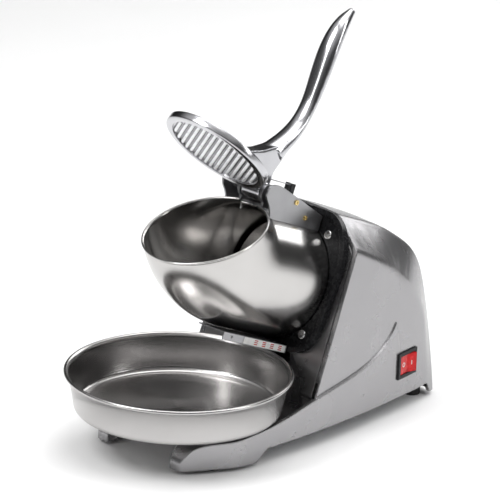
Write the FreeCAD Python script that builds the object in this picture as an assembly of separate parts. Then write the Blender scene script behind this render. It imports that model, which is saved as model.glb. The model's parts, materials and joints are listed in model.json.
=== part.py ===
import FreeCAD, Part
import math
import os

# Electric shaved ice machine: a cast housing, an inclined stainless hopper fed by a press lever,
# a motor-driven blade disc behind the hopper and a loose pan in front, on four rubber feet.
# Frame: millimetres, +Z up, the front (pan) towards -Y, the switch side +X.  The origin is on the
# table, in the middle of the bounding box.

V = FreeCAD.Vector

# ---------------------------------------------------------------- driving dimensions
PAN_CENTRE_Y = -92.5          # centre of the loose pan
PAN_RIM_R = 107.5             # outer radius of the rolled rim
PAN_WALL_R = 103.0            # wall radius under the rim
PAN_BASE_R = 98.0             # wall radius at the floor of the pan
PAN_FLOOR_Z = 38.0            # underside of the pan
PAN_RIM_Z = 76.0
PAN_SHEET = 1.2

SKIRT_Z = 4.0                 # lowest edge of the casting
ARCH_Z = 15.0                 # raised edge between the feet
NOSE_Y = -142.0               # front face of the base
NOSE_HALF = 57.0              # half width of the front face
GAP_HALF = 42.0               # half width of the open front between the two front legs
GAP_END_Y = -82.0             # closed end of that opening
TOE_END_Y = -116.0            # roofed tips of the two front legs end here
REAR_Y = 200.0
CORNER_X = 58.0               # where the rear corners start to round
WIDEST_HALF = 86.0            # half width of the base at its widest
WIDEST_Y = -30.0
TAPER = 0.00048               # how fast the sides close in behind the widest place
WALL = 5.0                    # casting wall
DECK_Z = 29.0                 # top of the deck under the pan
PLATE = 3.0                   # thickness of the deck, the scoop wall and the front plate
SCOOP_R = 118.0               # hollow wall behind the pan, centred on the pan
SEAM = 0.8                    # gap between the front frame and the housing

HEAD_Y = 43.5                 # centre of the hopper's mounting face
HEAD_Z = 138.0
HEAD_TILT = 22.0              # the hopper axis points forward and up by this angle

HOPPER_R = 59.5               # outside radius of the hopper tube
HOPPER_SHEET = 1.5
RIM_LIP = 1.1                 # the turned lip stands out from the tube
ELBOW_N = 75.0                # where the tube starts to bend, measured from the mounting face
ELBOW_R = 64.0                # radius of the bend
ELBOW_TURN = 52.0

HINGE_Y = 2.0                 # lever pin
HINGE_Z = 233.0
PRESS_R = 54.0                # press plate
PRESS_ALONG = 72.9            # from the pin to the plate's centre, along the plate
PRESS_OFFSET = 9.2            # from the pin down to the plate's pressing face
PRESS_RAISED = 133.0          # direction of the plate, from +Y towards +Z, with the lever raised

FOOT_R = 9.0
SWITCH_Y = 143.5
SWITCH_Z = 47.0
CORD_X = -28.0                # cord inlet in the rear wall
CORD_Z = 34.0
CORD_HOLE_R = 7.0
CORD_SEAT_Y = 196.5           # flat spot in the wall for the grommet

CAVITY_Z = 44.0               # top of the straight part of the cavity
FLOOR_Z = 17.0                # top of the steel bottom plate
SEAT_R = 62.0                 # ring on the deck that carries the pan
FLANGE_T = 7.0                # black blade housing plate
CUP_R = 61.0                  # its cup behind the mounting face
CUP_DEPTH = 26.0
SEAT_N = 4.0                  # the hopper sits this far out of the mounting face
CHUTE_HALF = 34.0             # half width of the ice outlet
SEAL_R = 9.0
SCREW_R = 2.0
FLANGE_SCREWS = [(42.5, 51.6), (48.0, -45.0)]
MOTOR_R = 42.0
MOTOR_L = 82.0
MOTOR_BOLT_R = 30.0
MOTOR_BOLT_ANGLES = (45.0, 135.0, 225.0, 315.0)
BEARING_R = 11.0
SHAFT_R = 4.0
ROTOR_R = 26.0
FAN_R = 34.0
DISC_R = 54.0
DISC_N = 9.0                  # back of the blade disc, from the mounting face
EAR_R = 9.0                   # round end of the ears that carry the hinge pin
NOTCH_HALF = 12.4             # gap in the hopper's rear lip for the lever
GUARD_HALF = 36.0
GUARD_N = 98.0
LABEL_N = 62.0
GUARD_DROP = 7.5
BRACKET_HALF = 30.0
SADDLE_N = 74.5
SADDLE_RIVETS = [(22.0, 24.0), (60.0, 24.0)]
PIN_R = 3.0
PRESS_BACK = 8.0              # thickness of the press plate
PRESS_SCREWS = [(-12.0, 66.0), (12.0, 66.0), (0.0, 84.0)]
MICRO_HOLES = [(48.7, 72.5), (30.7, 60.6)]
MICRO_X = 28.0
MICRO_LEAN = 15.0
LEAF_N = 56.0
LEAF_S = 86.5
ROCKER_PIVOT = -1.0
FEET = [(58.0, -106.0, "foot_front_left"), (-58.0, -106.0, "foot_front_right"),
        (46.0, 181.0, "foot_rear_left"), (-46.0, 181.0, "foot_rear_right")]
TILT = math.radians(HEAD_TILT)
HINGE_N = -(HINGE_Y - HEAD_Y) * math.cos(TILT) + (HINGE_Z - HEAD_Z) * math.sin(TILT)
HINGE_S = (HINGE_Y - HEAD_Y) * math.sin(TILT) + (HINGE_Z - HEAD_Z) * math.cos(TILT)
BOSS_Y = (-45.0, 30.0, 150.0)  # screw lugs along each side wall

CRUMB = 40.0                  # cubic millimetres

NODES = {}


def keep(name, shape):
    """Take a finished sub-part and give it the name of its node."""
    NODES[name] = shape


# ---------------------------------------------------------------- small shape helpers
def cyl(r, h, at, axis=(0, 0, 1)):
    return Part.makeCylinder(r, h, V(*at), V(*axis))


def tube(outer, inner, h, at, axis=(0, 0, 1)):
    back = V(*at) - V(*axis).normalize() * 0.5
    return cyl(outer, h, at, axis).cut(cyl(inner, h + 1.0, back, axis))


def box(x0, x1, y0, y1, z0, z1):
    return Part.makeBox(x1 - x0, y1 - y0, z1 - z0, V(x0, y0, z0))


def mirrored(shape):
    return shape.mirror(V(0, 0, 0), V(1, 0, 0))


def smooth(points, closed=False):
    curve = Part.BSplineCurve()
    curve.interpolate([V(*p) for p in points], PeriodicFlag=closed)
    return curve.toShape()


def line(a, b):
    return Part.LineSegment(V(*a), V(*b)).toShape()


def blend(a, corner, b):
    curve = Part.BezierCurve()
    curve.setPoles([V(*a), V(*corner), V(*b)])
    return curve.toShape()


def one_solid(shape):
    """The single solid of a boolean result; crumbs left by a cut are dropped."""
    solids = sorted(shape.removeSplitter().Solids, key=lambda s: -s.Volume)
    assert all(s.Volume < CRUMB for s in solids[1:]), [s.Volume for s in solids]
    return solids[0]


def to_head(shape):
    """Move a shape drawn in the head's own frame (x, up the face, out of the face) into place."""
    shape = shape.copy()
    shape.rotate(V(0, 0, 0), V(1, 0, 0), 90.0 - HEAD_TILT)
    shape.translate(V(0, HEAD_Y, HEAD_Z))
    return shape


def switch_place(shape):
    """Move a shape drawn on the switch face (x along the wall, y up, z outwards) into place."""
    slope = math.degrees(math.atan(2.0 * TAPER * (SWITCH_Y - WIDEST_Y)))
    shape = shape.copy()
    shape.rotate(V(0, 0, 0), V(1, 0, 0), 90.0)
    shape.rotate(V(0, 0, 0), V(0, 0, 1), 90.0 + slope)
    shape.translate(V(half_width(SWITCH_Y) - 0.9, SWITCH_Y, SWITCH_Z))
    return shape


# ---------------------------------------------------------------- housing outline
def half_width(y):
    return WIDEST_HALF - TAPER * (y - WIDEST_Y) ** 2


# The hood is drawn as ribs in planes that fan out from a line under the floor.  Each rib:
# its top (y, z), the depth of the slanted shoulder, and the half width of the flat top.
FAN_Y = 40.0
FAN_Z = -20.0
RIBS = [
    (-105.0, 276.7, 30.0, 44.0),
    (20.0, 226.2, 29.0, 44.0),
    (71.0, 205.7, 28.0, 44.0),
    (121.0, 185.6, 33.0, 45.0),
    (149.0, 169.0, 37.0, 47.0),
    (167.0, 154.5, 37.0, 49.0),
    (177.5, 139.5, 34.0, 50.0),
    (183.5, 121.5, 27.0, 51.0),
    (188.5, 98.0, 20.0, 52.0),
    (192.5, 66.0, 17.0, 55.0),
    (196.0, 30.0, 15.0, 58.0),
    (198.0, 4.0, 14.0, 59.5),
    (199.5, -16.0, 14.0, 60.0),
]
RIB_START = 14.0              # where each rib starts, out from the fan line
HOOD_STEP = 2.2               # the hood stands in from the skirt by this at the front
STEP_END_Y = 128.0            # and comes out flush here
CROWN = 2.0


def hood_half(y, z):
    step = HOOD_STEP * (1.0 - ((y + 10.0) / (STEP_END_Y + 10.0)) ** 3) if y > -10.0 else HOOD_STEP
    return half_width(y) - max(step, -0.4) - 0.01 * z


def rib(top_y, top_z, shoulder, flat, inset):
    reach = math.hypot(top_y - FAN_Y, top_z - FAN_Z)
    g = ((top_y - FAN_Y) / reach, (top_z - FAN_Z) / reach)

    def at(x, rho):
        return (x, FAN_Y + g[0] * rho, FAN_Z + g[1] * rho)

    def side(rho):
        p = at(0, rho)
        return hood_half(p[1], p[2]) - inset

    top = reach - inset
    crease = reach - shoulder - 0.6 * inset
    flat = flat - 0.5 * inset
    lean = math.hypot(side(crease) - flat, top - crease)
    ux, ur = (flat - side(crease)) / lean, (top - crease) / lean
    near, far = 5.0, 4.0
    stations = [RIB_START + (crease - near - RIB_START) * k / 4.0 for k in range(5)]
    edges = []
    edges.append(smooth([at(side(r), r) for r in stations]))
    edges.append(blend(at(side(crease - near), crease - near), at(side(crease), crease),
                       at(side(crease) + ux * near, crease + ur * near)))
    edges.append(line(at(side(crease) + ux * near, crease + ur * near),
                      at(flat - ux * far, top - ur * far)))
    edges.append(blend(at(flat - ux * far, top - ur * far), at(flat, top), at(flat - far, top + 0.2)))
    arc = Part.Arc(V(*at(flat - far, top + 0.2)), V(*at(0, top + CROWN)), V(*at(far - flat, top + 0.2)))
    left = [mirrored(e) for e in edges]
    base = line(at(-side(RIB_START), RIB_START), at(side(RIB_START), RIB_START))
    return Part.Wire(Part.__sortEdges__(edges + [arc.toShape()] + left + [base]))


def fine_ribs():
    """The rib table with two more ribs between each pair from the third rib on, on a smooth curve."""
    fine = RIBS[:2]
    for i in range(2, len(RIBS) - 1):
        p = RIBS[max(i - 1, 2)], RIBS[i], RIBS[i + 1], RIBS[min(i + 2, len(RIBS) - 1)]
        for t in (0.0, 1.0 / 3.0, 2.0 / 3.0):
            fine.append(tuple(0.5 * (2.0 * b + (c - a) * t + (2.0 * a - 5.0 * b + 4.0 * c - d) * t ** 2
                                     + (3.0 * b - a - 3.0 * c + d) * t ** 3) for a, b, c, d in zip(*p)))
    return fine + RIBS[-1:]


def hood(inset):
    return Part.makeLoft([rib(*r, inset) for r in fine_ribs()], True, True)


def plan_face(inset):
    """The outline of the base seen from above, inset by a wall."""
    nose = NOSE_Y + inset
    bend_y = -98.0
    flank = [(half_width(y) - inset, y, 0) for y in (-62.0, -20.0, 40.0, 100.0, 150.0, 182.0)]
    corner = NOSE_HALF - inset * 0.55
    shoulder_x = 80.5 - inset
    edges = [
        blend((corner - 6.0, nose, 0), (corner, nose, 0), (corner + 2.6, nose + 5.0, 0)),
        line((corner + 2.6, nose + 5.0, 0), (shoulder_x, bend_y, 0)),
        blend((shoulder_x, bend_y, 0), (half_width(-62.0) - inset, bend_y + 11.0, 0), flank[0]),
        smooth(flank),
        blend(flank[-1], (flank[-1][0] - 1.6, REAR_Y - inset, 0), (CORNER_X - inset, REAR_Y - inset, 0)),
    ]
    left = [mirrored(e) for e in edges]
    front = line((6.0 - corner, nose, 0), (corner - 6.0, nose, 0))
    back = line((inset - CORNER_X, REAR_Y - inset, 0), (CORNER_X - inset, REAR_Y - inset, 0))
    return Part.Face(Part.Wire(Part.__sortEdges__(edges + left + [front, back])))


def prism(inset, z0, z1):
    face = plan_face(inset)
    face.translate(V(0, 0, z0))
    return face.extrude(V(0, 0, z1 - z0))


def profile(edges, x0=-130.0, x1=130.0):
    """A closed side profile drawn in the Y-Z plane (x = 0), pushed from x0 to x1."""
    face = Part.Face(Part.Wire(Part.__sortEdges__(edges)))
    face.translate(V(x0, 0, 0))
    return face.extrude(V(x1 - x0, 0, 0))


def polygon(points, x0=-130.0, x1=130.0):
    """The same for straight sides only; points are (y, z)."""
    corners = [(0, y, z) for y, z in points]
    return profile([line(a, b) for a, b in zip(corners, corners[1:] + corners[:1])], x0, x1)


def arm_top():
    """Top line of the skirt: low at the nose, rising into the crest that runs up the side."""
    points = [(-142.6, 1.0), (-141.4, 12.0), (-137.0, 20.5), (-130.0, 25.8), (-119.0, 28.4), (-104.0, 29.2),
              (-72.0, 32.5), (-42.0, 36.4), (-22.0, 40.4), (-7.0, 44.0), (33.0, 52.0), (64.0, 58.0),
              (90.0, 66.0), (110.0, 78.0), (124.0, 94.0)]
    return smooth([(0, y, z) for y, z in points])


def under_arm_top():
    """Everything under the skirt's top line."""
    top = arm_top()
    first, last = top.Vertexes[0].Point, top.Vertexes[-1].Point
    low = -10.0
    end_y = 150.0
    return profile([top, line(tuple(last), (0, end_y, low)), line((0, end_y, low), (0, first.y, low)),
                    line((0, first.y, low), tuple(first))])


def behind_face(gap=0.0):
    """The half space behind the head's mounting face."""
    return to_head(box(-200, 200, -400, 400, -500, -gap))


def boss_places():
    """Screw centres of the lugs, both sides."""
    return [(k * (half_width(y) - WALL - 5.0), y) for y in BOSS_Y for k in (-1, 1)]


def scoop(radius):
    return cyl(radius, 300.0, (0, PAN_CENTRE_Y, DECK_Z))


def front_gap(spread):
    """The opening between the front legs, grown by `spread`."""
    half = GAP_HALF + spread
    gap = box(-half, half, -260.0, GAP_END_Y + spread, -20.0, CAVITY_Z)
    rear = [e for e in gap.Edges if e.BoundBox.ZLength > 1.0 and abs(e.BoundBox.YMax - GAP_END_Y - spread) < 1e-6]
    return gap.makeFillet(12.0 + spread, rear)


def main_housing():
    skirt = prism(0.0, SKIRT_Z, 130.0).common(under_arm_top())
    shell = hood(0.0).common(behind_face()).common(box(-130, 130, -60, 230, SKIRT_Z, 260))
    outer = skirt.fuse(shell)
    pan_room = prism(WALL, 0.0, 130.0).cut(behind_face()).fuse(prism(WALL, 0.0, 60.0).cut(behind_face(15.0)))
    cavity = prism(WALL, -20.0, CAVITY_Z).fuse(hood(WALL)).fuse(pan_room)
    arches = polygon([(-72.5, -5), (-72.5, SKIRT_Z), (-58.5, ARCH_Z), (182.5, ARCH_Z), (189.0, SKIRT_Z),
                      (189.0, -5)])
    low_top = under_arm_top()
    low_top.translate(V(0, 2.0, -4.0))
    toes = skirt.common(box(-90, 90, -200, TOE_END_Y, 0, 60)).cut(low_top)
    body = outer.cut(cavity).fuse(toes).fuse(front_gap(WALL).common(skirt))
    body = body.cut(front_gap(0.0)).cut(arches)
    for x, y in boss_places():
        reach = 5.5 if x > 0 else 4.8
        lug = box(x - (10.3 - reach), x + reach, y - 5.0, y + 5.0, FLOOR_Z, FLOOR_Z + 9.0)
        body = body.fuse(lug.common(outer)).cut(cyl(1.5, 8.0, (x, y, FLOOR_Z)))
    body = body.cut(switch_place(box(-13.6, 13.6, -11.1, 11.1, -12, 12)))
    body = body.cut(switch_place(box(-15.6, 15.6, -13.1, 13.1, 0, 6)))
    body = body.cut(cyl(CORD_HOLE_R, 40.0, (CORD_X, REAR_Y - 20.0, CORD_Z), (0, 1, 0)))
    body = body.cut(cyl(CORD_HOLE_R + 2.6, 40.0, (CORD_X, CORD_SEAT_Y, CORD_Z), (0, 1, 0)))
    keep("main_housing", one_solid(body))



def front_frame():
    """Front plate, hollow wall behind the pan and deck, one inner casting inset by the seam."""
    inset = WALL + SEAM
    inner = hood(inset).fuse(prism(inset, -20.0, CAVITY_Z))
    plate = inner.common(behind_face()).cut(behind_face(PLATE + 1.0)).common(box(-130, 130, -60, 230,
                                                                                 DECK_Z, 260))
    plate = plate.cut(scoop(SCOOP_R))
    wall = tube(SCOOP_R + PLATE, SCOOP_R, 110.0, (0, PAN_CENTRE_Y, DECK_Z - PLATE))
    wall = wall.common(inner).common(behind_face()).common(box(-130, 130, -60, 120, 0, 200))
    deck = prism(inset, DECK_Z - PLATE, DECK_Z).common(cyl(SCOOP_R + PLATE, 60.0, (0, PAN_CENTRE_Y, 0)))
    seat = tube(SEAT_R, SEAT_R - 8.0, PAN_FLOOR_Z - DECK_Z, (0, PAN_CENTRE_Y, DECK_Z))
    body = plate.fuse(wall).fuse(deck.fuse(seat).cut(front_gap(WALL + SEAM)).cut(
        box(-90, 90, -200, TOE_END_Y + SEAM, 0, 60)))
    body = body.cut(to_head(cyl(CUP_R + 0.3, 60.0, (0, 0, -40.0))))
    body = body.cut(to_head(box(-CHUTE_HALF, CHUTE_HALF, -90.0, -30.0, -60.0, 4.0)))
    legs = [cyl(4.5, DECK_Z - PLATE - FLOOR_Z, (x, y, FLOOR_Z)) for x in (-52.3, 52.3)
            for y in (-92.0, -30.0)]
    for leg in legs:
        body = body.fuse(leg)
    for x, s in [(x * k, s) for x, s in FLANGE_SCREWS for k in (-1, 1)]:
        body = body.cut(to_head(cyl(SCREW_R, 20.0, (x, s, -12.0))))
    keep("front_frame", one_solid(body))


def flange_outline():
    """Rounded black plate around the hopper, drawn on the mounting face."""
    edges = [line((0, 73, 0), (34, 73, 0)),
             blend((34, 73, 0), (52, 73, 0), (62, 55, 0)),
             blend((62, 55, 0), (70.5, 42, 0), (70.5, 18, 0)),
             line((70.5, 18, 0), (66.5, -36, 0)),
             blend((66.5, -36, 0), (62, -65, 0), (34, -65, 0)),
             line((34, -65, 0), (0, -65, 0))]
    return Part.Face(Part.Wire(Part.__sortEdges__(edges + [mirrored(e) for e in edges])))


def blade_housing():
    plate = flange_outline().extrude(V(0, 0, FLANGE_T))
    inner = flange_outline().copy()
    inner.scale(0.93, V(0, 3, 0))
    plate = plate.cut(inner.extrude(V(0, 0, 3.0)).translate(V(0, 0, FLANGE_T - 2.0)))
    cup = tube(CUP_R, CUP_R - 3.0, CUP_DEPTH, (0, 0, -CUP_DEPTH)).fuse(cyl(CUP_R, 4.0,
                                                                           (0, 0, -CUP_DEPTH - 4.0)))
    body = plate.fuse(cup).cut(cyl(CUP_R - 3.0, CUP_DEPTH + FLANGE_T, (0, 0, -CUP_DEPTH)))
    body = body.cut(box(-CHUTE_HALF + 2, CHUTE_HALF - 2, -80.0, -30.0, -CUP_DEPTH, 1.5))
    body = body.cut(cyl(SEAL_R, 10.0, (0, 0, -CUP_DEPTH - 6.0)))
    for x, s in FLANGE_SCREWS:
        for k in (-1, 1):
            body = body.cut(cyl(SCREW_R, 20.0, (k * x, s, -5.0)))
    for a in MOTOR_BOLT_ANGLES:
        at = (MOTOR_BOLT_R * math.cos(math.radians(a)), MOTOR_BOLT_R * math.sin(math.radians(a)),
              -CUP_DEPTH - 6.0)
        body = body.cut(cyl(2.1, 10.0, at))
    body = body.cut(cyl(HOPPER_R + 0.05, 10.0, (0, 0, SEAT_N)))
    keep("blade_housing", one_solid(to_head(body)))


def pan_screw(at, r, head_r, length, head_h=2.2):
    """A pan-head screw drawn in the head's frame: `at` is the seat of its head."""
    x, s, n = at
    head = cyl(head_r, head_h, at)
    head = head.makeFillet(head_h * 0.45, [e for e in head.Edges if abs(e.BoundBox.ZMin - n - head_h) < 1e-6])
    cross = box(x - head_r * 0.6, x + head_r * 0.6, s - 0.35, s + 0.35, n + head_h - 0.9, n + head_h + 1)
    cross = cross.fuse(box(x - 0.35, x + 0.35, s - head_r * 0.6, s + head_r * 0.6, n + head_h - 0.9,
                           n + head_h + 1))
    return head.cut(cross).fuse(cyl(r, length, (x, s, n - length)))


def flange_screws():
    screws = [pan_screw((k * x, s, FLANGE_T - 2.0), SCREW_R, 4.4, 14.0) for x, s in FLANGE_SCREWS
              for k in (-1, 1)]
    keep("flange_screws", Part.makeCompound([to_head(s) for s in screws]))


def hopper_solid(radius, n0, turn):
    tube_part = cyl(radius, ELBOW_N - n0, (0, 0, n0))
    disc = Part.Face(Part.Wire(Part.makeCircle(radius, V(0, 0, ELBOW_N), V(0, 0, 1))))
    bend = disc.revolve(V(0, ELBOW_R, ELBOW_N), V(-1, 0, 0), turn)
    return tube_part, bend


def hopper():
    outer_tube, outer_bend = hopper_solid(HOPPER_R, SEAT_N, ELBOW_TURN)
    inner_tube, inner_bend = hopper_solid(HOPPER_R - HOPPER_SHEET, SEAT_N - 1.0, ELBOW_TURN + 3.0)
    rim = cyl(HOPPER_R + RIM_LIP, 2.4, (0, 0, ELBOW_N - 1.4))
    rim.rotate(V(0, ELBOW_R, ELBOW_N), V(-1, 0, 0), ELBOW_TURN)
    mouth = cyl(HOPPER_R - HOPPER_SHEET, 12.0, (0, 0, ELBOW_N))
    mouth.rotate(V(0, ELBOW_R, ELBOW_N), V(-1, 0, 0), ELBOW_TURN)
    body = outer_tube.fuse(outer_bend).fuse(rim).cut(inner_tube).cut(inner_bend).cut(mouth)
    notch = box(-NOTCH_HALF, NOTCH_HALF, 40.0, 90.0, ELBOW_N - 16.0, ELBOW_N + 14.0)
    body = body.cut(notch)
    for n, x in SADDLE_RIVETS:
        for k in (-1, 1):
            body = body.cut(cyl(1.6, 40.0, (k * x, 30.0, n), (0, 1, 0)))
    keep("hopper", one_solid(to_head(body)))


def ice_guard():
    """Short channel under the hopper that turns the ice down into the pan."""
    top = -HOPPER_R - 0.4
    web = box(2.0, GUARD_HALF, top - 1.2, top, FLANGE_T, GUARD_N)
    side = box(GUARD_HALF - 1.2, GUARD_HALF, top - GUARD_DROP, top, FLANGE_T, GUARD_N)
    body = web.fuse(side)
    body = body.cut(cyl(1.2, 4.0, (GUARD_HALF - 3.0, top - 3.5, GUARD_N - 12.0), (1, 0, 0)))
    keep("ice_guard", to_head(body.Solids[0]))
    label = box(GUARD_HALF, GUARD_HALF + 0.3, top - GUARD_DROP + 0.6, top - 0.4, FLANGE_T + 2.0,
                FLANGE_T + LABEL_N)
    keep("guard_label", to_head(label))


def press_lever():
    """The cast handle, its web and the hinge knuckle."""
    spine = [(121.0, 384.5, 4.0, 4.0), (109.0, 375.0, 8.5, 6.5), (96.0, 358.0, 11.0, 7.5),
             (85.5, 338.0, 11.5, 7.0), (76.5, 319.0, 10.5, 6.2), (67.0, 302.0, 9.5, 5.6),
             (54.5, 287.0, 10.0, 6.0), (38.0, 275.5, 11.5, 7.5), (20.0, 266.0, 12.5, 10.0)]
    rings = []
    for i, (y, z, wide, thick) in enumerate(spine):
        a, b = spine[max(i - 1, 0)], spine[min(i + 1, len(spine) - 1)]
        t = V(0, b[0] - a[0], b[1] - a[1]).normalize()
        ellipse = Part.Ellipse(V(0, 0, 0), wide, thick).toShape()
        m = FreeCAD.Matrix()
        m.A11, m.A21, m.A31 = 1, 0, 0
        m.A12, m.A22, m.A32 = 0, -t.z, t.y
        m.A13, m.A23, m.A33 = 0, -t.y, -t.z
        ellipse = ellipse.transformGeometry(m)
        ellipse.translate(V(0, y, z))
        rings.append(Part.Wire(ellipse))
    handle = Part.makeLoft(rings, True, False)
    tip = Part.makeSphere(4.2, V(0, 121.0, 384.5))
    web = polygon([(33.0, 278.0), (20.0, 274.5), (2.0, 274.0), (-16.0, 277.0), plate_point(62.0, PRESS_BACK),
                   plate_point(30.0, PRESS_BACK), (HINGE_Y - 6.5, HINGE_Z + 5.5), (HINGE_Y + 6.5,
                                                                                   HINGE_Z - 5.0),
                   (15.0, 249.0), (31.0, 264.0)], -9.5, 9.5)
    knuckle = cyl(9.0, 23.0, (-11.5, HINGE_Y, HINGE_Z), (1, 0, 0))
    hole = cyl(PIN_R + 2.0, 60.0, (-30.0, HINGE_Y, HINGE_Z), (1, 0, 0))
    pad = plate_disc(22.0, 4.0, PRESS_BACK, PRESS_ALONG)
    body = handle.fuse(tip).fuse(web).fuse(knuckle).fuse(pad).cut(hole)
    for x, e in PRESS_SCREWS:
        body = body.cut(plate_cyl(2.0, 3.2, x, e, PRESS_BACK - 0.1))
    keep("lever_handle", one_solid(body))
    bush = tube(PIN_R + 2.0, PIN_R + 0.05, 23.0, (-11.5, HINGE_Y, HINGE_Z), (1, 0, 0))
    keep("hinge_bush", bush)


def plate_point(along, out):
    """A point of the press plate (along the plate from the pin, out from its pressing face)."""
    a = math.radians(PRESS_RAISED)
    e = (math.cos(a), math.sin(a))
    m = (-math.sin(a), math.cos(a))          # pressing direction, away from the lever
    depth = PRESS_OFFSET - out
    return (HINGE_Y + e[0] * along + m[0] * depth, HINGE_Z + e[1] * along + m[1] * depth)


def plate_cyl(r, h, x, along, out):
    """A cylinder standing on the plate's back, axis away from the pressing face."""
    a = math.radians(PRESS_RAISED)
    axis = (0, math.sin(a), -math.cos(a))
    y, z = plate_point(along, out)
    return cyl(r, h, (x, y, z), axis)


def plate_disc(r, h, out, along):
    return plate_cyl(r, h, 0, along, out)


def press_plate():
    """Round pressing plate; its two screw heads sit in counterbores on the pressing side."""
    disc = plate_disc(PRESS_R, PRESS_BACK, 0.0, PRESS_ALONG)
    screws = []
    for x, e in PRESS_SCREWS:
        disc = disc.cut(plate_cyl(2.0, 20.0, x, e, -1.0)).cut(plate_cyl(3.4, 3.05, x, e, -1.0))
        screws.append(plate_cyl(2.0, PRESS_BACK + 1.0, x, e, 2.0).fuse(plate_cyl(3.4, 1.2, x, e, 0.8)))
    keep("press_plate", one_solid(disc))
    keep("press_plate_screws", Part.makeCompound(screws))


def hinge_bracket():
    """Saddle on the hopper's top with two side panels, a rear roof and two inner ears."""
    saddle = tube(HOPPER_R + 2.0, HOPPER_R, SADDLE_N - FLANGE_T, (0, 0, FLANGE_T)).common(
        box(-BRACKET_HALF, BRACKET_HALF, 20.0, 90.0, 0.0, 120.0))
    saddle = saddle.cut(box(-NOTCH_HALF, NOTCH_HALF, 40.0, 90.0, ELBOW_N - 16.0, 120.0))
    front = [line((0, 50.0, FLANGE_T), (0, 66.5, FLANGE_T)), line((0, 66.5, FLANGE_T), (0, 81.5, 66.0)),
             blend((0, 81.5, 66.0), (0, 86.5, 84.0), (0, 79.5, 89.5)),
             blend((0, 79.5, 89.5), (0, 72.0, 94.0), (0, 65.6, 86.0)),
             blend((0, 65.6, 86.0), (0, 61.0, 80.5), (0, 52.0, 78.0)), line((0, 52.0, 78.0),
                                                                            (0, 50.0, FLANGE_T))]
    panel = profile(front, BRACKET_HALF - 2.0, BRACKET_HALF).cut(cyl(HOPPER_R, 100.0, (0, 0, 0)))
    ear = cyl(EAR_R, 3.0, (13.0, HINGE_S, HINGE_N), (1, 0, 0))
    ear = ear.fuse(box(13.0, 16.0, 52.0, HINGE_S, HINGE_N - EAR_R, HINGE_N + 3.0))
    ear = ear.cut(cyl(HOPPER_R + 1.0, 100.0, (0, 0, 0))).common(box(0, 40, 0, 120, 0, SADDLE_N + 8.0))
    roof = profile([line((0, 66.5, FLANGE_T), (0, 76.6, 46.0)), line((0, 76.6, 46.0), (0, 74.6, 46.6)),
                    line((0, 74.6, 46.6), (0, 64.5, FLANGE_T)), line((0, 64.5, FLANGE_T),
                                                                     (0, 66.5, FLANGE_T))],
                   -BRACKET_HALF, BRACKET_HALF)
    body = saddle.fuse(panel).fuse(mirrored(panel)).fuse(ear).fuse(mirrored(ear)).fuse(roof)
    for outer in hopper_solid(HOPPER_R, SEAT_N, ELBOW_TURN):
        body = body.cut(outer)
    body = body.cut(cyl(PIN_R, 80.0, (-36.0, HINGE_S, HINGE_N),
                        (1, 0, 0)).common(box(-60, 16.5, 0, 200, 0, 200)))
    for n, s in MICRO_HOLES:
        body = body.cut(cyl(1.5, 10.0, (BRACKET_HALF - 5.0, s, n), (1, 0, 0)))
    for n, x in SADDLE_RIVETS:
        for k in (-1, 1):
            body = body.cut(cyl(1.6, 60.0, (k * x, 20.0, n),
                                (0, 1, 0)).common(cyl(HOPPER_R + 2.5, 100.0, (0, 0, 0))))
    keep("hinge_bracket", one_solid(to_head(body)))
    rivets = []
    for n, x in SADDLE_RIVETS:
        s = math.sqrt(HOPPER_R ** 2 - x ** 2)
        for k in (-1, 1):
            shank = cyl(1.6, 5.5, (k * x, s - 3.4, n), (0, 1, 0))
            rivets.append(to_head(shank))
    keep("bracket_rivets", Part.makeCompound(rivets))


def hinge_pin():
    pin = cyl(PIN_R, 52.0, (-36.0, HINGE_Y, HINGE_Z), (1, 0, 0))
    keep("hinge_pin", pin)
    nut = hexagon(6.5, 4.0, (-34.2, HINGE_Y, HINGE_Z)).cut(cyl(PIN_R, 10.0, (-38.0, HINGE_Y, HINGE_Z),
                                                               (1, 0, 0)))
    keep("hinge_pin_nut", nut)


def hexagon(r, h, at):
    """A hexagon bar along +X, starting at `at`."""
    x, y, z = at
    pts = [V(x, y + r * math.cos(math.radians(60 * k)), z + r * math.sin(math.radians(60 * k)))
           for k in range(7)]
    return Part.Face(Part.makePolygon(pts)).extrude(V(h, 0, 0))


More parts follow.
